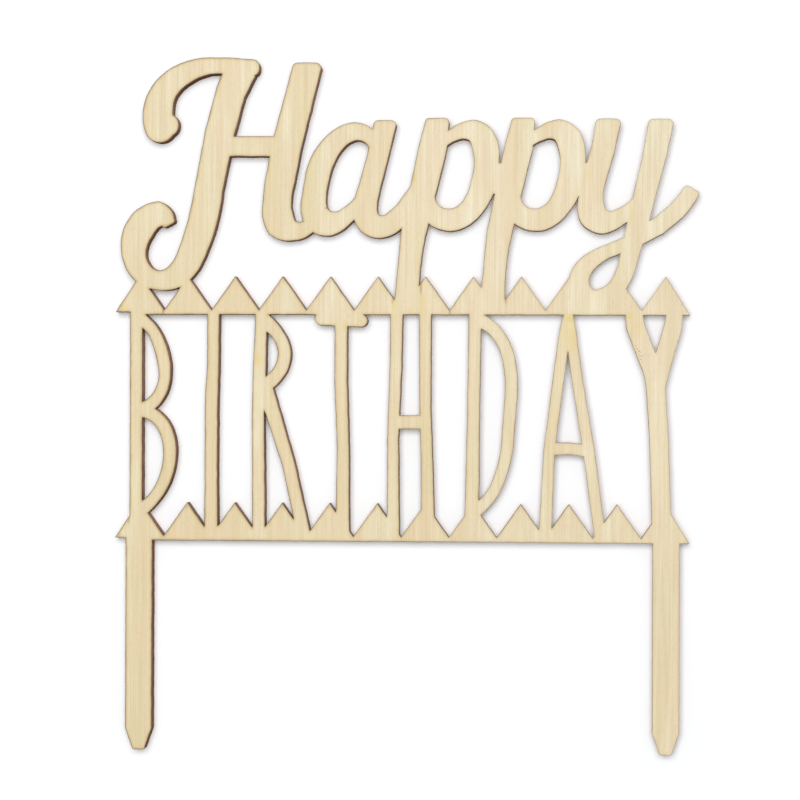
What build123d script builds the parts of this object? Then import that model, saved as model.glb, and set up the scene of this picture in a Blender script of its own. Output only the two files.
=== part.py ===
"""Cake topper cut by laser from one sheet of three-ply plywood.

The plate stands in the XZ plane with its front towards -Y. The origin is at cake level: on the
underside of the lower rail, midway between the two stakes. All sizes are in millimetres.
"""

import os

from build123d import *

os.makedirs("parts", exist_ok=True)

# Sheet: two thin face veneers bonded to a thicker core
face_veneer_thickness = 0.7
core_veneer_thickness = 1.6

# Rails: a solid band with a row of pointed teeth along its top
tooth_count = 12
tooth_pitch = 12.32
tooth_height = 8.7
rail_band_height = 1.2
rail_end_overhang = 0.4
rail_end_lift = 0.6

# Stakes: the two legs that are pushed into the cake
stake_length = 54.2
stake_width = 6.9
stake_inset = 5.9
stake_point_length = 5.6
stake_tip_width = 3.1
stake_tip_radius = 0.7

# Capitals: the row of letters between the two rails
capital_row_height = 58.5
capital_letter_width = 12.5
capital_pen_width = 3.2

# Script: the row of joined letters that stands on the upper rail
script_size = 50.0
script_pen_width = 7.0
script_descent_share = 0.414

# Degrees: a stretch of edge that turns less than this is cut as a straight line
flat_turn = 13

rail_length = tooth_count * tooth_pitch
script_baseline = capital_row_height + script_descent_share * script_size

# Capital strokes, letter by letter. A letter's place is a share of the rail length from the middle.
# A rib is (across, up, width): shares of the letter width, of the row height and of the pen width.
b_place_share = -0.4654
b_stem_shares = [
    (-0.006, 1.04, 1.02),
    (-0.003, 0.01, 1.02),
]
b_upper_bowl_shares = [
    (0.03, 0.9855, 1.1),
    (0.36, 0.92, 0.97),
    (0.53, 0.825, 1.08),
    (0.59, 0.735, 0.98),
    (0.51, 0.66, 1),
    (0.08, 0.58, 1.06),
]
b_lower_bowl_shares = [
    (0.09, 0.571, 1),
    (0.42, 0.544, 1.06),
    (0.63, 0.478, 1.09),
    (0.7, 0.385, 1.06),
    (0.62, 0.285, 1.03),
    (0.4, 0.195, 1),
    (-0.018, 0.119, 1.23),
]
i_place_share = -0.3318
i_stem_shares = [
    (0.02, 1.01, 0.97),
    (0.016, 0.79, 0.95),
    (-0.018, 0.6, 1.05),
    (-0.02, 0.3, 1.02),
    (-0.014, 0.01, 1.1),
]
r_place_share = -0.2493
r_stem_shares = [
    (0.04, 1.01, 0.95),
    (0.006, 0.75, 1.06),
    (-0.02, 0.56, 1),
    (-0.008, 0.3, 1.02),
    (0.002, 0.01, 1.04),
]
r_bowl_shares = [
    (0.044, 0.9765, 1.4),
    (0.4, 0.908, 1.03),
    (0.525, 0.825, 1.07),
    (0.4, 0.744, 1.09),
    (0, 0.677, 1.06),
]
r_leg_shares = [
    (0.084, 0.704, 1.28),
    (0.612, 0.342, 1.04),
    (0.96, 0.01, 1.09),
]
t_place_share = -0.1045
t_bar_shares = [
    (-0.424, 0.983, 1.09),
    (0.392, 0.974, 1.06),
]
t_stem_shares = [
    (-0.016, 0.974, 1.02),
    (-0.02, 0.71, 1.03),
    (0.03, 0.42, 0.98),
    (0.026, 0.01, 1.12),
]
h_place_share = -0.0118
h_left_stem_shares = [
    (0.036, 1.01, 1),
    (0.02, 0.78, 0.97),
    (-0.034, 0.46, 0.91),
    (-0.024, 0.01, 1),
]
h_right_stem_shares = [
    (0.624, 1.01, 1),
    (0.63, 0.6, 0.91),
    (0.668, 0.34, 0.97),
    (0.696, 0.01, 1.12),
]
h_bar_shares = [
    (0, 0.526, 1.11),
    (0.62, 0.528, 1.11),
]
d_place_share = 0.1255
d_stem_shares = [
    (0.028, 1.01, 1.03),
    (-0.004, 0.5, 1.01),
    (-0.034, 0.01, 1.19),
]
d_bowl_shares = [
    (0.07, 0.98, 1.12),
    (0.5, 0.913, 1.05),
    (0.72, 0.81, 1.03),
    (0.77, 0.64, 1.02),
    (0.7, 0.43, 1),
    (0.475, 0.247, 0.96),
    (-0.02, 0.126, 1.02),
]
a_place_share = 0.2892
a_left_leg_shares = [
    (0, 1.01, 0.6),
    (-0.05, 0.95, 0.88),
    (-0.12, 0.84, 0.92),
    (-0.376, 0.41, 0.91),
    (-0.462, 0.01, 1.04),
]
a_right_leg_shares = [
    (0.016, 1.01, 0.6),
    (0.04, 0.955, 0.84),
    (0.19, 0.72, 0.9),
    (0.43, 0.41, 0.94),
    (0.68, 0.01, 0.91),
]
a_bar_shares = [
    (-0.368, 0.412, 1.06),
    (0.008, 0.414, 0.94),
    (0.416, 0.403, 1.06),
]
y_place_share = 0.4461
y_left_arm_shares = [
    (-0.504, 1.01, 1.31),
    (-0.47, 0.948, 1.53),
    (-0.2, 0.797, 1.5),
    (-0.064, 0.684, 1.5),
]
y_right_arm_shares = [
    (0.32, 1.01, 1.25),
    (0.28, 0.94, 1.47),
    (0.07, 0.789, 1.47),
    (-0.046, 0.675, 1.44),
]
y_stem_shares = [
    (-0.064, 0.7, 1.56),
    (0.012, 0.46, 1.52),
    (0.08, 0.01, 1.57),
]

# Script strokes, letter by letter, placed from the middle of the topper and from the baseline.
# A rib is (across, up, width): shares of the script size, twice, and of the script pen width.
script_h_swash_shares = [
    (-1.259, 0.556, 1.14),
    (-1.268, 0.65, 1.11),
    (-1.23, 0.752, 0.96),
    (-1.13, 0.835, 0.81),
    (-1, 0.873, 0.63),
    (-0.889, 0.87, 0.636),
    (-0.779, 0.862, 0.62),
]
script_h_ball_shares = [
    (-1.237, 0.561, 0.88),
    (-1.219, 0.567, 0.86),
]
script_h_stem_shares = [
    (-0.825, 0.862, 1.1),
    (-0.891, 0.736, 1.11),
    (-0.949, 0.516, 1.09),
    (-1.003, 0.236, 1.06),
    (-1.105, -0.13, 1.01),
    (-1.179, -0.218, 0.89),
    (-1.263, -0.237, 0.73),
    (-1.349, -0.198, 0.81),
    (-1.393, -0.082, 0.94),
    (-1.359, 0.036, 1.09),
    (-1.265, 0.102, 1),
    (-1.213, 0.062, 0.52),
]
script_h_bar_shares = [
    (-0.947, 0.456, 0.74),
    (-0.607, 0.456, 0.74),
]
script_h_right_shares = [
    (-0.497, 0.856, 1.09),
    (-0.599, 0.456, 1.11),
    (-0.637, 0.256, 1.1),
    (-0.649, 0.136, 1.09),
    (-0.626, 0.052, 1.15),
    (-0.555, 0.019, 0.73),
    (-0.451, 0.092, 0.48),
]
script_a_bowl_shares = [
    (-0.137, 0.456, 0.49),
    (-0.245, 0.532, 0.67),
    (-0.329, 0.494, 0.76),
    (-0.437, 0.308, 0.91),
    (-0.457, 0.18, 0.92),
    (-0.439, 0.084, 1.06),
    (-0.367, 0.058, 0.91),
    (-0.291, 0.094, 0.63),
    (-0.19, 0.19, 0.66),
]
script_a_stem_shares = [
    (-0.091, 0.562, 0.84),
    (-0.129, 0.396, 0.78),
    (-0.171, 0.236, 0.81),
    (-0.191, 0.136, 0.89),
    (-0.169, 0.062, 0.93),
    (-0.109, 0.04, 0.84),
    (-0.047, 0.064, 0.79),
    (0.039, 0.16, 0.71),
    (0.09, 0.232, 0.71),
]
script_p_place_shares = [0, 0.442]
script_p_stem_shares = [
    (0.179, 0.578, 0.88),
    (0.158, 0.45, 1.04),
    (0.124, 0.3, 1),
    (0.0575, 0, 0.92),
    (0.024, -0.404, 0.98),
]
script_p_bowl_shares = [
    (0.167, 0.45, 0.57),
    (0.271, 0.517, 0.5),
    (0.353, 0.538, 0.77),
    (0.413, 0.492, 0.97),
    (0.4345, 0.382, 0.925),
    (0.4155, 0.25, 0.94),
    (0.361, 0.14, 0.84),
    (0.281, 0.08, 0.84),
    (0.205, 0.08, 0.81),
    (0.128, 0.2, 0.6),
]
script_p_joint_shares = [
    (0.508, 0.368, 0.16),
    (0.472, 0.208, 0.16),
]
script_y_left_shares = [
    (1.056, 0.568, 0.93),
    (1.031, 0.436, 0.86),
    (0.99, 0.296, 0.87),
    (0.969, 0.176, 0.93),
    (0.981, 0.1, 1.05),
    (1.043, 0.066, 0.89),
    (1.117, 0.09, 0.62),
    (1.219, 0.162, 0.64),
]
script_y_stem_shares = [
    (1.325, 0.564, 0.94),
    (1.297, 0.416, 0.87),
    (1.219, 0.096, 0.79),
    (1.155, -0.164, 0.67),
    (1.099, -0.278, 0.66),
    (0.999, -0.34, 0.8),
]
script_y_loop_shares = [
    (1.043, -0.34, 0.77),
    (0.943, -0.318, 0.77),
    (0.909, -0.24, 0.77),
    (0.963, -0.144, 0.63),
    (1.053, -0.088, 0.5),
    (1.183, -0.036, 0.51),
]
script_y_tail_shares = [
    (1.193, -0.028, 0.57),
    (1.317, 0.044, 0.66),
    (1.409, 0.122, 0.66),
    (1.484, 0.222, 0.6),
]


def smooth_edge(points):
    """Edge of a stroke through the points: an arc from each to the next, or a line where flat."""
    with BuildLine(mode=Mode.PRIVATE) as guide:
        Spline(*points)
    curve = guide.edge()
    for start, end in zip(points, points[1:]):
        if curve.tangent_at(start).get_angle(curve.tangent_at(end)) < flat_turn:
            Line(start, end)
        else:
            middle_share = (curve.param_at_point(start) + curve.param_at_point(end)) / 2
            ThreePointArc(start, curve.position_at(middle_share), end)


def stroke_end(first, second, corner_share):
    """Close a stroke from one edge to the other, with corners rounded past the last rib."""
    span = second - first
    along = span.normalized()
    outward = Vector(along.Y, -along.X)
    corner_radius = span.length / 2 * corner_share
    first_turn = first + (outward + along) * corner_radius
    second_turn = second + (outward - along) * corner_radius
    if corner_share > 0:
        TangentArc(first, first_turn, tangent=outward)
        TangentArc(second, second_turn, tangent=outward)
    if corner_share < 1:
        Line(first_turn, second_turn)


def pen_stroke(ribs, level_top, start_corner_share, end_corner_share):
    """Face of one pen stroke, its two edges drawn through the ends of the ribs."""
    centres = [Vector(across, up) for across, up, width in ribs]
    with BuildLine(mode=Mode.PRIVATE) as spine:
        Spline(*centres)
    headings = [spine.edge().tangent_at(centre) for centre in centres]
    if level_top:
        headings[0] = Vector(0, -1)
    arms = [Vector(-heading.Y, heading.X) * rib[2] / 2 for heading, rib in zip(headings, ribs)]
    left = [centre + arm for centre, arm in zip(centres, arms)]
    right = [centre - arm for centre, arm in zip(centres, arms)]
    with BuildSketch() as stroke:
        with BuildLine():
            smooth_edge(left)
            smooth_edge(right)
            stroke_end(left[0], right[0], start_corner_share)
            stroke_end(right[-1], left[-1], end_corner_share)
        make_face()
    return stroke.sketch


def capital_stroke(place_share, rib_shares, corner_share=0):
    """One stroke of a capital, with both ends cut square or both rounded."""
    ribs = [
        (
            place_share * rail_length + across_share * capital_letter_width,
            up_share * capital_row_height,
            width_share * capital_pen_width,
        )
        for across_share, up_share, width_share in rib_shares
    ]
    return pen_stroke(ribs, False, corner_share, corner_share)


def script_stroke(rib_shares, start_corner_share=0, end_corner_share=0, level_top=False, place_share=0):
    """One curved stroke of a script letter, its top cut level where the stem stands free."""
    ribs = [
        (
            (place_share + across_share) * script_size,
            script_baseline + up_share * script_size,
            width_share * script_pen_width,
        )
        for across_share, up_share, width_share in rib_shares
    ]
    return pen_stroke(ribs, level_top, start_corner_share, end_corner_share)


def rail(underside):
    """One toothed rail with sharp tips at its ends, the left tip a little further out and higher."""
    band_top = underside + rail_band_height
    left_tip = -rail_length / 2 - rail_end_overhang
    left_step = -rail_length / 2 + stake_inset
    profile = [
        (left_step, underside),
        (left_step, underside + rail_end_lift),
        (left_tip, underside + rail_end_lift),
        (left_tip + tooth_pitch / 2, band_top + tooth_height),
    ]
    for tooth in range(tooth_count):
        tooth_left = tooth * tooth_pitch - rail_length / 2
        profile.append((tooth_left + tooth_pitch / 2, band_top + tooth_height))
        profile.append((tooth_left + tooth_pitch, band_top))
    profile[-1] = (rail_length / 2, underside)
    with BuildSketch() as rail_face:
        with BuildLine():
            Polyline(*profile, close=True)
        make_face()
    return rail_face.sketch


def stake(side):
    """One stake, rooted in the band of the lower rail and tapered at its foot."""
    centre = side * (rail_length / 2 - stake_inset)
    shoulder = stake_point_length - stake_length
    profile = [
        (centre - stake_width / 2, rail_band_height),
        (centre - stake_width / 2, shoulder),
        (centre - stake_tip_width / 2, -stake_length),
        (centre + stake_tip_width / 2, -stake_length),
        (centre + stake_width / 2, shoulder),
        (centre + stake_width / 2, rail_band_height),
    ]
    with BuildSketch() as stake_face:
        with BuildLine():
            Polyline(*profile, close=True)
        make_face()
        fillet(stake_face.vertices().group_by(Axis.Y)[0], stake_tip_radius)
    return stake_face.sketch


capitals = [
    capital_stroke(b_place_share, b_stem_shares),
    capital_stroke(b_place_share, b_upper_bowl_shares),
    capital_stroke(b_place_share, b_lower_bowl_shares),
    capital_stroke(i_place_share, i_stem_shares),
    capital_stroke(r_place_share, r_stem_shares),
    capital_stroke(r_place_share, r_bowl_shares),
    capital_stroke(r_place_share, r_leg_shares),
    capital_stroke(t_place_share, t_bar_shares, corner_share=1),
    capital_stroke(t_place_share, t_stem_shares),
    capital_stroke(h_place_share, h_left_stem_shares),
    capital_stroke(h_place_share, h_right_stem_shares),
    capital_stroke(h_place_share, h_bar_shares),
    capital_stroke(d_place_share, d_stem_shares),
    capital_stroke(d_place_share, d_bowl_shares),
    capital_stroke(a_place_share, a_left_leg_shares),
    capital_stroke(a_place_share, a_right_leg_shares),
    capital_stroke(a_place_share, a_bar_shares),
    capital_stroke(y_place_share, y_left_arm_shares),
    capital_stroke(y_place_share, y_right_arm_shares),
    capital_stroke(y_place_share, y_stem_shares),
]

script = [
    script_stroke(script_h_swash_shares, start_corner_share=1, end_corner_share=0.9),
    script_stroke(script_h_ball_shares, start_corner_share=1, end_corner_share=1),
    script_stroke(script_h_stem_shares, end_corner_share=0.45),
    script_stroke(script_h_bar_shares),
    script_stroke(script_h_right_shares, start_corner_share=0.42, level_top=True),
    script_stroke(script_a_bowl_shares),
    script_stroke(script_a_stem_shares, start_corner_share=0.45, level_top=True),
    script_stroke(script_y_left_shares, start_corner_share=0.4, level_top=True),
    script_stroke(script_y_stem_shares, start_corner_share=0.42, level_top=True),
    script_stroke(script_y_loop_shares),
    script_stroke(script_y_tail_shares, end_corner_share=0.35),
]
for p_place_share in script_p_place_shares:
    script.append(
        script_stroke(
            script_p_stem_shares, start_corner_share=0.35, level_top=True, place_share=p_place_share
        )
    )
    script.append(script_stroke(script_p_bowl_shares, place_share=p_place_share))
    script.append(script_stroke(script_p_joint_shares, level_top=True, place_share=p_place_share))

frame = [rail(0), rail(capital_row_height), stake(-1), stake(1)]

# One closed outline: the path of the laser through the whole sheet
with BuildSketch() as cut_outline:
    add(frame + capitals + script)

# Back face veneer
with BuildPart() as back_veneer:
    with BuildSketch(Plane.XZ.offset(-core_veneer_thickness / 2 - face_veneer_thickness)):
        add(cut_outline.sketch)
    extrude(amount=face_veneer_thickness)
back_veneer.part.label = "back_veneer"
export_step(back_veneer.part, "parts/back_veneer.step")

# Core veneer, with its grain across the grain of the faces
with BuildPart() as core_veneer:
    with BuildSketch(Plane.XZ.offset(-core_veneer_thickness / 2)):
        add(cut_outline.sketch)
    extrude(amount=core_veneer_thickness)
core_veneer.part.label = "core_veneer"
export_step(core_veneer.part, "parts/core_veneer.step")

# Front face veneer
with BuildPart() as front_veneer:
    with BuildSketch(Plane.XZ.offset(core_veneer_thickness / 2)):
        add(cut_outline.sketch)
    extrude(amount=face_veneer_thickness)
front_veneer.part.label = "front_veneer"
export_step(front_veneer.part, "parts/front_veneer.step")
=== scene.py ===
"""Looks of the plywood cake topper: pale birch veneers, laser-burnt edges and a white table behind."""

import math

import bmesh
import bpy
from mathutils import Matrix, Vector, noise
from mathutils.bvhtree import BVHTree


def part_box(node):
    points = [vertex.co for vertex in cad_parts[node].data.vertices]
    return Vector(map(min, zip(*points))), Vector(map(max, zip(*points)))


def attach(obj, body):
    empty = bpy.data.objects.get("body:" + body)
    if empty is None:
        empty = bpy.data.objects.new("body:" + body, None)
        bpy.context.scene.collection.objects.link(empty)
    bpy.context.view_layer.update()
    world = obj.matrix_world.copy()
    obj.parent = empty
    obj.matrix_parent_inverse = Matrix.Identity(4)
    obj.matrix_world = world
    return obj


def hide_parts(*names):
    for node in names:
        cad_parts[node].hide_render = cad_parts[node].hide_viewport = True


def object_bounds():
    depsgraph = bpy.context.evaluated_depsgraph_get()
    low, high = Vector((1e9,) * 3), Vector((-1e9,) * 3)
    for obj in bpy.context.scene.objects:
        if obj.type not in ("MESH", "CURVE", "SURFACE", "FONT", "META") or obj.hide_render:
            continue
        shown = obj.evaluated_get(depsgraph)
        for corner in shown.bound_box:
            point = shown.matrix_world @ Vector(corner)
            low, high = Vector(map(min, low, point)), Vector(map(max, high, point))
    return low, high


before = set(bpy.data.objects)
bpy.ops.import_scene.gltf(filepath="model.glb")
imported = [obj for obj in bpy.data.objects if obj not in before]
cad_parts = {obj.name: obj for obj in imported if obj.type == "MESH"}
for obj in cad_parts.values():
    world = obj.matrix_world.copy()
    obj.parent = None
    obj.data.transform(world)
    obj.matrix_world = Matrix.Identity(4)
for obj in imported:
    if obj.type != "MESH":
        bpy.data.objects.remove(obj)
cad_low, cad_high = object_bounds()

# Sizes in metres, written as so many millimetres
MM = 0.001
WELD_REACH = 0.0005 * MM
LIP_DROP = 0.05 * MM
LIP_WIDTH = 0.09 * MM
FADE_WIDTH = 0.14 * MM
FACE_CELL = 1.0 * MM
CORE_CELL = 2.0 * MM
WOBBLE_REACH = 0.08 * MM
WOBBLE_LENGTH = 2.2 * MM
WOBBLE_SEED = 7
CORE_BURN_BACK = 0.03 * MM
OPEN_GAP = 12.0 * MM
RAY_START = 0.01 * MM
SHARP_TURN = math.radians(32)
# How far the back of the cut leans to the right of its front, by the place across the sheet
CUT_LEAN = (
    (-75 * MM, 0.25 * MM),
    (-47 * MM, 0.21 * MM),
    (-13 * MM, 0.13 * MM),
    (10 * MM, 0.08 * MM),
    (25 * MM, 0.0 * MM),
    (50 * MM, 0.05 * MM),
    (77 * MM, 0.12 * MM),
)
# How far the back of the cut drops below its front, by the height on the sheet
CUT_DROP = (
    (-55 * MM, 0.0 * MM),
    (65 * MM, 0.0 * MM),
    (126 * MM, 0.2 * MM),
)

# Which way a face veneer looks along Y
FRONT = -1
BACK = 1
# Size of a normal's Y part below which a face is a cut wall, above which it is flat, and halfway
WALL_LIMIT = 0.01
FLAT_LIMIT = 0.99
STEEP_LIMIT = 0.5


# Meshes

def copy_of_node(node):
    """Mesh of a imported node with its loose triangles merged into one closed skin."""
    skin = bmesh.new()
    skin.from_mesh(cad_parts[node].data)
    bmesh.ops.remove_doubles(skin, verts=skin.verts, dist=WELD_REACH)
    skin.normal_update()
    return skin


def is_wall(face):
    """Whether the laser cut this face, square to the sheet."""
    return abs(face.normal.y) < WALL_LIMIT


def tree_of_walls(skin):
    """Search tree of the cut walls, for the way from any point to the nearest cut."""
    skin.verts.index_update()
    places = [vert.co.copy() for vert in skin.verts]
    polygons = [[vert.index for vert in face.verts] for face in skin.faces if is_wall(face)]
    return BVHTree.FromPolygons(places, polygons)


def mark_open_gaps(skin, walls):
    """Store on every vertex of a wall how far the opposite wall is, for the painted shade that darkens the
    walls of narrow cuts.
    """
    open_gap = skin.verts.layers.float.new("open_gap")
    for vert in skin.verts:
        vert[open_gap] = OPEN_GAP
        for face in vert.link_faces:
            if is_wall(face):
                start = vert.co + face.normal * RAY_START
                gap = walls.ray_cast(start, face.normal, OPEN_GAP)[3]
                vert[open_gap] = min(vert[open_gap], OPEN_GAP if gap is None else gap)


def burnt_lip(skin, side):
    """Round the show face off along every cut, and fill the rest of it afresh."""
    show = [face for face in skin.faces if face.normal.y * side > FLAT_LIMIT]
    shown = set(show)
    rim_verts = list({vert for face in show for vert in face.verts})
    bmesh.ops.translate(skin, verts=rim_verts, vec=(0, -side * LIP_DROP, 0))
    inset = dict(use_boundary=True, use_even_offset=True)
    bmesh.ops.inset_region(skin, faces=show, thickness=LIP_WIDTH, depth=LIP_DROP, **inset)
    bmesh.ops.inset_region(skin, faces=show, thickness=FADE_WIDTH, depth=0, **inset)
    rim = [edge for edge in skin.edges if sum(face in shown for face in edge.link_faces) == 1]
    bmesh.ops.delete(skin, geom=show, context="FACES_KEEP_BOUNDARY")
    bmesh.ops.triangle_fill(skin, edges=rim, use_beauty=True, use_dissolve=False, normal=(0, side, 0))


def cut_into_cells(skin, cell):
    """Cut the whole skin by a square grid, so that it can carry a soft change of tone."""
    for axis in (Vector((1, 0, 0)), Vector((0, 0, 1))):
        low = math.floor(cad_low.dot(axis) / cell)
        high = math.ceil(cad_high.dot(axis) / cell)
        for line in range(low, high + 1):
            everything = skin.verts[:] + skin.edges[:] + skin.faces[:]
            bmesh.ops.bisect_plane(
                skin, geom=everything, dist=WELD_REACH, plane_co=axis * line * cell, plane_no=axis
            )
    skin.normal_update()


def lean_at(place, leans):
    """Lean of the cut at a place, between the places that its table gives."""
    for (start, start_lean), (end, end_lean) in zip(leans, leans[1:]):
        if place <= end:
            break
    share = (place - start) / (end - start)
    return start_lean + share * (end_lean - start_lean)


def shake_outline(skin):
    """Let the outline waver and lean a little, as a laser leaves it, alike in every layer and run."""
    noise.seed_set(WOBBLE_SEED)
    for vert in skin.verts:
        along = Vector((vert.co.x, 0, vert.co.z)) / WOBBLE_LENGTH
        shift = noise.noise_vector(along)
        depth_share = (vert.co.y - cad_low.y) / (cad_high.y - cad_low.y)
        vert.co.x += shift.x * WOBBLE_REACH + lean_at(vert.co.x, CUT_LEAN) * depth_share
        vert.co.z += shift.z * WOBBLE_REACH - lean_at(vert.co.z, CUT_DROP) * depth_share


def mark_sharp_turns(skin):
    """Shade the round stretches of the cut smoothly and keep its corners sharp."""
    for face in skin.faces:
        face.smooth = True
    for edge in skin.edges:
        edge.smooth = len(edge.link_faces) == 2 and edge.calc_face_angle(math.pi) < SHARP_TURN


def finished_piece(skin, name, node, materials):
    """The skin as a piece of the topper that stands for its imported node."""
    skin.normal_update()
    mark_sharp_turns(skin)
    mesh = bpy.data.meshes.new(name)
    skin.to_mesh(mesh)
    skin.free()
    piece = bpy.data.objects.new(name, mesh)
    bpy.context.scene.collection.objects.link(piece)
    for material in materials:
        mesh.materials.append(material)
    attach(piece, "root")
    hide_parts(node)
    return piece


def face_ply(name, node, side, materials):
    """A face veneer: its show face carries its distance from the nearest cut, and its walls are charred."""
    skin = copy_of_node(node)
    walls = tree_of_walls(skin)
    burnt_lip(skin, side)
    cut_into_cells(skin, FACE_CELL)
    cut_distance = skin.verts.layers.float.new("cut_distance")
    for vert in skin.verts:
        vert[cut_distance] = walls.find_nearest(vert.co)[3]
    mark_open_gaps(skin, walls)
    for face in skin.faces:
        face.material_index = 0 if abs(face.normal.y) > STEEP_LIMIT else 1
    shake_outline(skin)
    return finished_piece(skin, name, node, materials)


def core_ply(name, node, material):
    """The core veneer, burnt back a little further than the faces."""
    skin = copy_of_node(node)
    walls = tree_of_walls(skin)
    for vert in skin.verts:
        sideways = sum((face.normal for face in vert.link_faces if is_wall(face)), Vector())
        vert.co -= sideways.normalized() * CORE_BURN_BACK
    cut_into_cells(skin, CORE_CELL)
    mark_open_gaps(skin, walls)
    shake_outline(skin)
    return finished_piece(skin, name, node, [material])


# Materials

def tone(red, green, blue):
    """A colour given as display values from 0 to 255."""
    def linear(value):
        share = value / 255
        return share / 12.92 if share <= 0.04045 else ((share + 0.055) / 1.055) ** 2.4
    return (linear(red), linear(green), linear(blue), 1.0)


PALE_BIRCH = tone(243, 236, 211)
HONEY_BIRCH = tone(225, 208, 165)
PEACH_BIRCH = tone(233, 208, 177)
STREAK_BIRCH = tone(206, 189, 149)
FLECK_BROWN = tone(182, 148, 106)
SPECK_BROWN = tone(110, 74, 50)
TOAST = tone(146, 112, 74)
AMBER = tone(222, 200, 120)
SCORCH = tone(150, 104, 62)
CUT_LINE = tone(84, 54, 38)
CHAR_DARK = tone(104, 60, 38)
CHAR_BROWN = tone(205, 140, 96)
CHAR_CORE = tone(184, 122, 82)
# Black of the dark glue lines, and of the painted shade in narrow cuts
GLUE_AND_SHADE_BLACK = tone(48, 24, 15)

# Waves per millimetre of each noise along X, Y and Z
FINE_WAVES = (2.6, 2.6, 0.035)
BROAD_WAVES = (0.8, 0.8, 0.03)
WIDE_WAVES = (0.22, 0.22, 0.012)
PORE_WAVES = (3.4, 3.4, 0.8)
BLOTCH_WAVES = (0.2, 0.2, 0.06)
HEAT_WAVES = (0.3, 0.3, 0.3)
PULSE_WAVES = (4.0, 0.35, 4.0)
PATCH_WAVES = (0.25, 0.2, 0.25)
SPECK_WAVES = (0.22, 0.0, 0.22)

# Noise values at which each effect starts and is full
FINE_RANGE = (0.32, 0.68)
BROAD_RANGE = (0.3, 0.7)
WIDE_RANGE = (0.3, 0.7)
PORE_RANGE = (0.5, 0.75)
BLOTCH_RANGE = (0.38, 0.62)
HEAT_RANGE = (0.3, 0.7)
MARK_RANGE = (0.4, 0.8)
SPECK_EDGE = (0.03, 0.07)
SPECK_CHANCE = (0.9, 0.95)

# How much of each goes into the grain and the laser marks
FINE_PART = 0.65
BROAD_PART = 0.35
FINE_HEIGHT_PART = 0.6
PULSE_PART = 0.6
PATCH_PART = 0.6

# How far each colour covers the one under it on the veneer
BAND_SHARE = 0.8
# Painted light: the left and foot shares darken the veneer towards the left and the foot
LEFT_SHARE = 0.45
FOOT_SHARE = 0.45
PALE_SHIFT = 0.35
BLOTCH_SHARE = 0.55
STREAK_SHARE = 0.74
FLECK_SHARE = 0.15
SPECK_SHARE = 0.6

# Burnt bands beside a cut: width, cover, the burn at the two ends of the sheet and at its coolest
GLOW_WIDTH = 2.4 * MM
GLOW_SHARE = 0.25
TOAST_WIDTH = 1.0 * MM
TOAST_SHARE = 0.55
BURN_LEFT = 1.7
BURN_RIGHT = 0.25
COOLEST_BURN = 0.5
# Burn between which the cut line grows from its faintest to full
LINE_BURN = (0.2, 1.0)
FAINTEST_LINE = 0.5

# Charred walls: the painted shade that blackens narrow cuts, the grain through the char and the dark glue
# lines
NARROW_GAP = 1.5 * MM
NARROW_SHADE_SHARE = 0.6
CHAR_GRAIN_SHARE = 0.35
GLUE_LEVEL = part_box("core_veneer")[1].y
GLUE_EDGE = (0.02 * MM, 0.07 * MM)
GLUE_SHARE = 0.8

# Surface of the veneer and of the walls
FACE_ROUGHNESS = (0.52, 0.66)
FACE_SHINE = 0.3
FACE_RELIEF = 0.02 * MM
WALL_ROUGHNESS = 0.85
WALL_SHINE = 0.2
WALL_RELIEF = 0.04 * MM
UPRIGHT_GRAIN = (0.0, 0.0, 0.0)
CROSS_GRAIN = (0.0, math.radians(90), 0.0)

# Resin stains on the front: across, up, reach across and reach up in millimetres, and strength
STAINS = (
    (5.4, 61.5, 1.0, 4.5, 0.45),
    (-2.1, 61.0, 1.0, 2.2, 0.5),
    (2.0, 59.7, 1.2, 0.8, 0.3),
    (-1.7, 57.7, 0.8, 1.0, 0.4),
    (27.4, 65.0, 0.8, 1.8, 0.3),
    (43.2, 57.6, 1.4, 1.6, 0.9),
    (43.7, 53.2, 2.6, 5.0, 0.45),
    (58.4, 58.3, 1.3, 0.9, 0.7),
    (60.4, 55.8, 1.6, 3.0, 0.3),
    (47.7, 94.6, 0.7, 2.2, 0.4),
    (58.8, 84.4, 0.7, 2.6, 0.5),
    (3.2, 94.0, 0.7, 2.4, 0.5),
    (-71.8, 4.6, 1.6, 1.2, 0.3),
    (-72.2, 60.2, 1.6, 1.2, 0.5),
    (-37.4, 47.0, 0.9, 2.0, 0.6),
    (-14.6, 55.6, 0.8, 1.2, 0.6),
    (-20.2, 84.6, 0.8, 1.6, 0.3),
)
# Brown lines and specks that the beam left, in the same terms
SCORCHES = (
    (4.9, 65.2, 0.3, 1.6, 0.6),
    (12.4, 59.1, 0.3, 1.0, 0.6),
    (26.8, 62.2, 0.3, 1.2, 0.5),
    (-61.9, 59.4, 0.3, 1.2, 0.9),
    (-70.7, 5.4, 0.4, 1.4, 0.4),
    (-2.4, 62.2, 0.3, 1.2, 0.4),
    (-19.7, 86.0, 0.3, 0.3, 0.8),
    (60.1, 50.6, 0.18, 0.18, 0.7),
    (60.5, 49.9, 0.2, 0.2, 0.8),
    (60.9, 49.3, 0.25, 0.2, 0.8),
    (61.3, 49.0, 0.15, 0.15, 0.7),
    (60.7, 48.6, 0.15, 0.15, 0.7),
    (61.2, 48.1, 0.2, 0.2, 0.8),
    (61.7, 47.9, 0.15, 0.15, 0.6),
    (61.4, 47.2, 0.2, 0.15, 0.7),
    (61.8, 46.6, 0.15, 0.15, 0.6),
)
# Share of a spot's reach at which it starts to fade and is gone
SPOT_FADE = (0.2, 1.3)
# Depths between which the spots of the front fade, so that the back has none
SPOT_DEPTH = (-0.5 * MM, 0.5 * MM)


def add_node(tree, kind, inputs=None, **settings):
    """Add a node, set it, and set or link its inputs by name or number."""
    node = tree.nodes.new(kind)
    for name, value in settings.items():
        setattr(node, name, value)
    for socket, value in (inputs or {}).items():
        if isinstance(value, bpy.types.NodeSocket):
            tree.links.new(value, node.inputs[socket])
        else:
            node.inputs[socket].default_value = value
    return node


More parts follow.
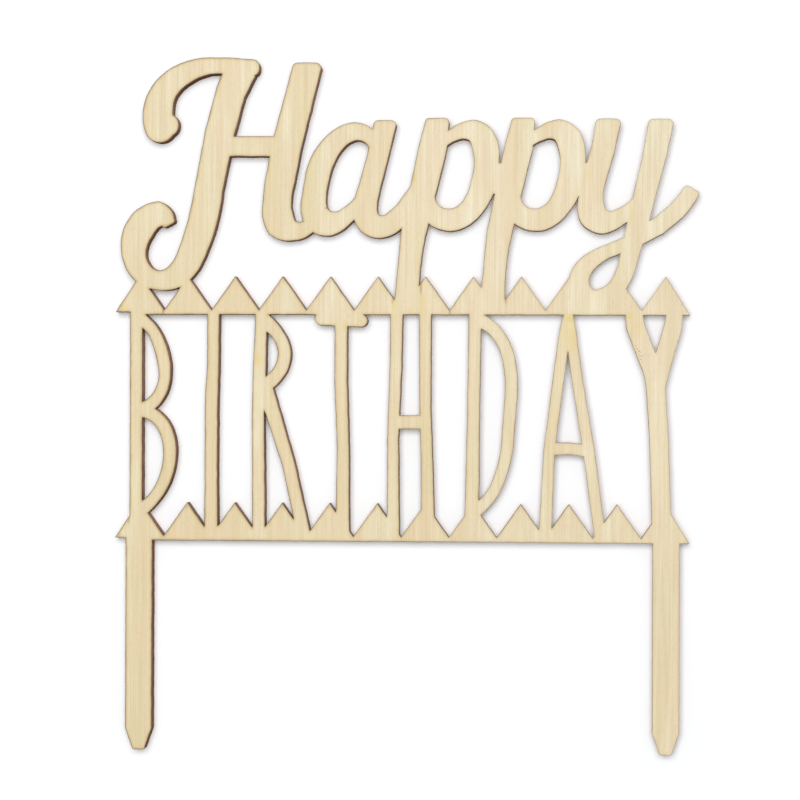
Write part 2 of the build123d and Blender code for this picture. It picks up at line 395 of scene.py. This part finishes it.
def math_node(tree, operation, *values):
    """One step of arithmetic."""
    return add_node(tree, "ShaderNodeMath", dict(enumerate(values)), operation=operation).outputs[0]


def times(tree, first, second):
    """Product of two values."""
    return math_node(tree, "MULTIPLY", first, second)


def ramp(tree, value, low, high, to_low=0.0, to_high=1.0):
    """The value moved from one range to another, and held inside it."""
    sockets = {"Value": value, "From Min": low, "From Max": high, "To Min": to_low, "To Max": to_high}
    return add_node(tree, "ShaderNodeMapRange", sockets).outputs["Result"]


def blend_colours(tree, share, first, second):
    """The first colour going over to the second as the share grows."""
    node = add_node(tree, "ShaderNodeMix", {0: share, 6: first, 7: second}, data_type="RGBA")
    return node.outputs[2]


def stretched(tree, vector, waves):
    """The vector in waves of a pattern, so many per millimetre along each axis."""
    scale = [count / MM for count in waves]
    return add_node(tree, "ShaderNodeMapping", {"Vector": vector, "Scale": scale}).outputs[0]


def stretched_noise(tree, vector, waves, detail, roughness=0.5):
    """Noise drawn out along an axis."""
    place = stretched(tree, vector, waves)
    sockets = {"Vector": place, "Scale": 1.0, "Detail": detail, "Roughness": roughness}
    return add_node(tree, "ShaderNodeTexNoise", sockets).outputs["Fac"]


def new_group(name, outputs):
    """An empty shader group that turns a vector into named values: the group, its vector and its end."""
    group = bpy.data.node_groups.new(name, "ShaderNodeTree")
    group.interface.new_socket("Vector", in_out="INPUT", socket_type="NodeSocketVector")
    for socket in outputs:
        group.interface.new_socket(socket, in_out="OUTPUT", socket_type="NodeSocketFloat")
    vector = group.nodes.new("NodeGroupInput").outputs["Vector"]
    return group, vector, group.nodes.new("NodeGroupOutput")


def make_grain_group():
    """Birch grain that runs along the third axis of its vector."""
    group, vector, end = new_group("birch_grain", ("Streaks", "Bands", "Flecks", "Height"))
    fine = stretched_noise(group, vector, FINE_WAVES, detail=4.0, roughness=0.65)
    broad = stretched_noise(group, vector, BROAD_WAVES, detail=2.0)
    wide = stretched_noise(group, vector, WIDE_WAVES, detail=3.0)
    pores = stretched_noise(group, vector, PORE_WAVES, detail=2.0, roughness=0.6)
    sharp = times(group, ramp(group, fine, *FINE_RANGE), FINE_PART)
    soft = times(group, ramp(group, broad, *BROAD_RANGE), BROAD_PART)
    flecks = ramp(group, pores, *PORE_RANGE)
    height = math_node(group, "SUBTRACT", times(group, fine, FINE_HEIGHT_PART), flecks)
    group.links.new(math_node(group, "ADD", sharp, soft), end.inputs["Streaks"])
    group.links.new(ramp(group, wide, *WIDE_RANGE), end.inputs["Bands"])
    group.links.new(flecks, end.inputs["Flecks"])
    group.links.new(height, end.inputs["Height"])
    return group


def make_striation_group():
    """Marks that the laser's pulses leave on a wall, running through the sheet along Y."""
    group, vector, end = new_group("laser_striations", ("Tone", "Height"))
    pulses = stretched_noise(group, vector, PULSE_WAVES, detail=3.0, roughness=0.6)
    patches = stretched_noise(group, vector, PATCH_WAVES, detail=2.0)
    mixed = math_node(group, "ADD", times(group, pulses, PULSE_PART), times(group, patches, PATCH_PART))
    group.links.new(ramp(group, mixed, *MARK_RANGE), end.inputs["Tone"])
    group.links.new(pulses, end.inputs["Height"])
    return group


def new_material(name):
    """A material with its principled shader, and a vector of object coordinates."""
    material = bpy.data.materials.new(name)
    material.use_nodes = True
    tree = material.node_tree
    shader = tree.nodes["Principled BSDF"]
    place = add_node(tree, "ShaderNodeTexCoord").outputs["Object"]
    return material, tree, shader, place


def add_relief(tree, shader, height, depth):
    """Bump from a height field, the depth in metres."""
    bump = add_node(tree, "ShaderNodeBump", {"Height": height, "Strength": 1.0, "Distance": depth})
    tree.links.new(bump.outputs[0], shader.inputs["Normal"])


def bare_birch(tree, place, across, up, grain):
    """Colour of the sanded veneer: bands, blotches, streaks and pores, with a painted light gradient that
    makes it paler towards the top right.
    """
    # Painted light: darker towards the left and the foot, paler towards the top right
    left = ramp(tree, across, cad_low.x, cad_high.x, LEFT_SHARE, 0.0)
    foot = ramp(tree, up, cad_low.z, cad_high.z, FOOT_SHARE, 0.0)
    painted_light_slope = math_node(tree, "ADD", left, foot)
    shade = math_node(tree, "ADD", times(tree, grain.outputs["Bands"], BAND_SHARE), painted_light_slope)
    shade = math_node(tree, "SUBTRACT", shade, PALE_SHIFT)
    blotch = ramp(tree, stretched_noise(tree, place, BLOTCH_WAVES, detail=2.0), *BLOTCH_RANGE)
    colour = blend_colours(tree, shade, PALE_BIRCH, HONEY_BIRCH)
    colour = blend_colours(tree, times(tree, blotch, BLOTCH_SHARE), colour, PEACH_BIRCH)
    colour = blend_colours(tree, times(tree, grain.outputs["Streaks"], STREAK_SHARE), colour, STREAK_BIRCH)
    return blend_colours(tree, times(tree, grain.outputs["Flecks"], FLECK_SHARE), colour, FLECK_BROWN)


def near_cut(tree, cut, width):
    """A share that falls off softly from one at the cut to zero at the width of the band."""
    share = ramp(tree, cut, 0.0, width, 1.0, 0.0)
    return times(tree, share, share)


def spot_mask(tree, place, depth, spots):
    """Where a list of spots lies on the front of the sheet."""
    mask = 0.0
    for across, up, reach_across, reach_up, strength in spots:
        reach = (1 / (reach_across * MM), 0.0, 1 / (reach_up * MM))
        centre = (-across / reach_across, 0.0, -up / reach_up)
        sockets = {"Vector": place, "Location": centre, "Scale": reach}
        spot = add_node(tree, "ShaderNodeMapping", sockets).outputs[0]
        away = add_node(tree, "ShaderNodeVectorMath", {0: spot}, operation="LENGTH").outputs["Value"]
        mask = math_node(tree, "MAXIMUM", mask, ramp(tree, away, *SPOT_FADE, strength, 0.0))
    return times(tree, mask, ramp(tree, depth, *SPOT_DEPTH, 1.0, 0.0))


def speck_mask(tree, place):
    """Sparse dark specks: the middles of a few of the cells that fill the sheet."""
    sockets = {"Vector": stretched(tree, place, SPECK_WAVES), "Scale": 1.0}
    cells = add_node(tree, "ShaderNodeTexVoronoi", sockets)
    chance = add_node(tree, "ShaderNodeSeparateColor", {0: cells.outputs["Color"]}).outputs[0]
    dot = ramp(tree, cells.outputs["Distance"], *SPECK_EDGE, 1.0, 0.0)
    return times(tree, dot, ramp(tree, chance, *SPECK_CHANCE))


def burnt_beside_cuts(tree, place, across, colour):
    """The colour with its glow, its toast and the brown line right at the cut."""
    cut = add_node(tree, "ShaderNodeAttribute", attribute_name="cut_distance").outputs["Fac"]
    heat = stretched_noise(tree, place, HEAT_WAVES, detail=2.0)
    heat = ramp(tree, heat, *HEAT_RANGE, COOLEST_BURN, 1.0)
    burn = times(tree, heat, ramp(tree, across, cad_low.x, cad_high.x, BURN_LEFT, BURN_RIGHT))
    glow = times(tree, times(tree, near_cut(tree, cut, GLOW_WIDTH), burn), GLOW_SHARE)
    colour = blend_colours(tree, glow, colour, AMBER)
    toast = times(tree, times(tree, near_cut(tree, cut, TOAST_WIDTH), burn), TOAST_SHARE)
    colour = blend_colours(tree, toast, colour, TOAST)
    line = ramp(tree, cut, 0.0, LIP_WIDTH + FADE_WIDTH, 1.0, 0.0)
    line = times(tree, line, ramp(tree, burn, *LINE_BURN, FAINTEST_LINE, 1.0))
    return blend_colours(tree, line, colour, CUT_LINE)


def face_material(grain_group):
    """Bare sanded birch with upright grain, stained here and there and burnt beside the cuts."""
    material, tree, shader, place = new_material("birch_face")
    across, depth, up = add_node(tree, "ShaderNodeSeparateXYZ", {0: place}).outputs
    grain = add_node(tree, "ShaderNodeGroup", {"Vector": place}, node_tree=grain_group)
    colour = bare_birch(tree, place, across, up, grain)
    colour = blend_colours(tree, times(tree, speck_mask(tree, place), SPECK_SHARE), colour, SPECK_BROWN)
    colour = blend_colours(tree, spot_mask(tree, place, depth, STAINS), colour, AMBER)
    colour = blend_colours(tree, spot_mask(tree, place, depth, SCORCHES), colour, SCORCH)
    colour = burnt_beside_cuts(tree, place, across, colour)
    roughness = ramp(tree, grain.outputs["Streaks"], 0.0, 1.0, *FACE_ROUGHNESS)
    tree.links.new(colour, shader.inputs["Base Color"])
    tree.links.new(roughness, shader.inputs["Roughness"])
    shader.inputs["Specular IOR Level"].default_value = FACE_SHINE
    add_relief(tree, shader, grain.outputs["Height"], FACE_RELIEF)
    return material


def wall_material(name, grain_group, striation_group, grain_turn, brown):
    """Charred cut wall of one layer, with the grain of that layer showing through the char, and painted
    shade darkening it in narrow cuts.
    """
    material, tree, shader, place = new_material(name)
    turned = add_node(tree, "ShaderNodeMapping", {"Vector": place, "Rotation": grain_turn})
    grain = add_node(tree, "ShaderNodeGroup", {"Vector": turned.outputs[0]}, node_tree=grain_group)
    marks = add_node(tree, "ShaderNodeGroup", {"Vector": place}, node_tree=striation_group)
    colour = blend_colours(tree, marks.outputs["Tone"], CHAR_DARK, brown)
    colour = blend_colours(tree, times(tree, grain.outputs["Streaks"], CHAR_GRAIN_SHARE), colour, CHAR_DARK)
    # Painted shade: the walls of narrow cuts darken towards black, where little light reaches them
    gap = add_node(tree, "ShaderNodeAttribute", attribute_name="open_gap").outputs["Fac"]
    narrow_shade = ramp(tree, gap, NARROW_GAP, OPEN_GAP, NARROW_SHADE_SHARE, 0.0)
    colour = blend_colours(tree, narrow_shade, colour, GLUE_AND_SHADE_BLACK)
    depth = add_node(tree, "ShaderNodeSeparateXYZ", {0: place}).outputs["Y"]
    from_glue = math_node(tree, "SUBTRACT", math_node(tree, "ABSOLUTE", depth), GLUE_LEVEL)
    glue = ramp(tree, math_node(tree, "ABSOLUTE", from_glue), *GLUE_EDGE, GLUE_SHARE, 0.0)
    colour = blend_colours(tree, glue, colour, GLUE_AND_SHADE_BLACK)
    tree.links.new(colour, shader.inputs["Base Color"])
    shader.inputs["Roughness"].default_value = WALL_ROUGHNESS
    shader.inputs["Specular IOR Level"].default_value = WALL_SHINE
    add_relief(tree, shader, marks.outputs["Height"], WALL_RELIEF)
    return material


grain_group = make_grain_group()
striation_group = make_striation_group()
birch_face = face_material(grain_group)
face_wall = wall_material("charred_face_wall", grain_group, striation_group, UPRIGHT_GRAIN, CHAR_BROWN)
core_wall = wall_material("charred_core_wall", grain_group, striation_group, CROSS_GRAIN, CHAR_CORE)

face_ply("front_ply", "front_veneer", FRONT, [birch_face, face_wall])
core_ply("core_ply", "core_veneer", core_wall)
face_ply("back_ply", "back_veneer", BACK, [birch_face, face_wall])


# Stage, light and camera

WHITE = (1.0, 1.0, 1.0, 1.0)
TABLE_PAPER = (0.985, 0.995, 1.0, 1.0)
TABLE_GAP = 0.05 * MM
TABLE_SIZE = 2.0
BACKDROP_LIGHT = 1.0
ROOM_LIGHT = 0.26
FRONT_LAMP_PLACE = (-0.06, -1.2, 0.25)
FRONT_LAMP_POWER = 14.65
BACK_LAMP_PLACE = (0.4, 1.2, 0.5)
BACK_LAMP_POWER = 15.0
LAMP_SIZE = 1.0
CAMERA_PLACE = Vector((34.0, -620.0, 36.57)) * MM
CAMERA_TARGET = Vector((-0.37, -1.5, 36.54)) * MM
CAMERA_ROLL = math.radians(0.2)
CAMERA_LENS = 108.2
SENSOR_WIDTH = 36.0


def white_table():
    """The white table that the topper lies on. Only the camera sees it, and only from the front."""
    skin = bmesh.new()
    stand = Matrix.Translation((0, cad_high.y + TABLE_GAP, 0)) @ Matrix.Rotation(math.radians(90), 4, "X")
    bmesh.ops.create_grid(skin, x_segments=1, y_segments=1, size=TABLE_SIZE / 2, matrix=stand)
    mesh = bpy.data.meshes.new("white_table")
    skin.to_mesh(mesh)
    skin.free()
    table = bpy.data.objects.new("white_table", mesh)
    bpy.context.scene.collection.objects.link(table)
    material = bpy.data.materials.new("white_table")
    material.use_nodes = True
    tree = material.node_tree
    tree.nodes.remove(tree.nodes["Principled BSDF"])
    paper = add_node(tree, "ShaderNodeBsdfDiffuse", {"Color": TABLE_PAPER})
    clear = add_node(tree, "ShaderNodeBsdfTransparent")
    camera_ray = add_node(tree, "ShaderNodeLightPath").outputs["Is Camera Ray"]
    behind = add_node(tree, "ShaderNodeNewGeometry").outputs["Backfacing"]
    seen = times(tree, camera_ray, math_node(tree, "SUBTRACT", 1.0, behind))
    surface = add_node(tree, "ShaderNodeMixShader", {0: seen, 1: clear.outputs[0], 2: paper.outputs[0]})
    tree.links.new(surface.outputs[0], tree.nodes["Material Output"].inputs["Surface"])
    mesh.materials.append(material)


def white_room():
    """White all round for the camera, and a soft even light for the topper."""
    world = bpy.data.worlds.new("white_room")
    world.use_nodes = True
    tree = world.node_tree
    rays = add_node(tree, "ShaderNodeLightPath").outputs
    seen = math_node(tree, "MAXIMUM", rays["Is Camera Ray"], rays["Is Transmission Ray"])
    seen = math_node(tree, "MAXIMUM", seen, rays["Is Glossy Ray"])
    backdrop = add_node(tree, "ShaderNodeBackground", {"Color": WHITE, "Strength": BACKDROP_LIGHT})
    light = tree.nodes["Background"]
    light.inputs["Color"].default_value = WHITE
    light.inputs["Strength"].default_value = ROOM_LIGHT
    sky = add_node(tree, "ShaderNodeMixShader", {0: seen, 1: light.outputs[0], 2: backdrop.outputs[0]})
    tree.links.new(sky.outputs[0], tree.nodes["World Output"].inputs["Surface"])
    bpy.context.scene.world = world


def soft_lamp(name, place, size, power):
    """A square soft box that faces the middle of the topper."""
    lamp = bpy.data.lights.new(name, "AREA")
    lamp.size = size
    lamp.energy = power
    holder = bpy.data.objects.new(name, lamp)
    bpy.context.scene.collection.objects.link(holder)
    holder.location = place
    holder.rotation_euler = ((cad_low + cad_high) / 2 - Vector(place)).to_track_quat("-Z", "Y").to_euler()


def photo_camera():
    """The camera of the photograph: nearly square to the sheet, a little to the right of it."""
    camera = bpy.data.cameras.new("photo_camera")
    camera.lens = CAMERA_LENS
    camera.sensor_width = SENSOR_WIDTH
    holder = bpy.data.objects.new("photo_camera", camera)
    bpy.context.scene.collection.objects.link(holder)
    turn = (CAMERA_TARGET - CAMERA_PLACE).to_track_quat("-Z", "Y").to_matrix().to_4x4()
    holder.matrix_world = Matrix.Translation(CAMERA_PLACE) @ turn @ Matrix.Rotation(CAMERA_ROLL, 4, "Z")
    bpy.context.scene.camera = holder


white_table()
white_room()
soft_lamp("front_lamp", FRONT_LAMP_PLACE, LAMP_SIZE, FRONT_LAMP_POWER)
soft_lamp("back_lamp", BACK_LAMP_PLACE, LAMP_SIZE, BACK_LAMP_POWER)
photo_camera()
bpy.context.scene.view_settings.view_transform = "Standard"
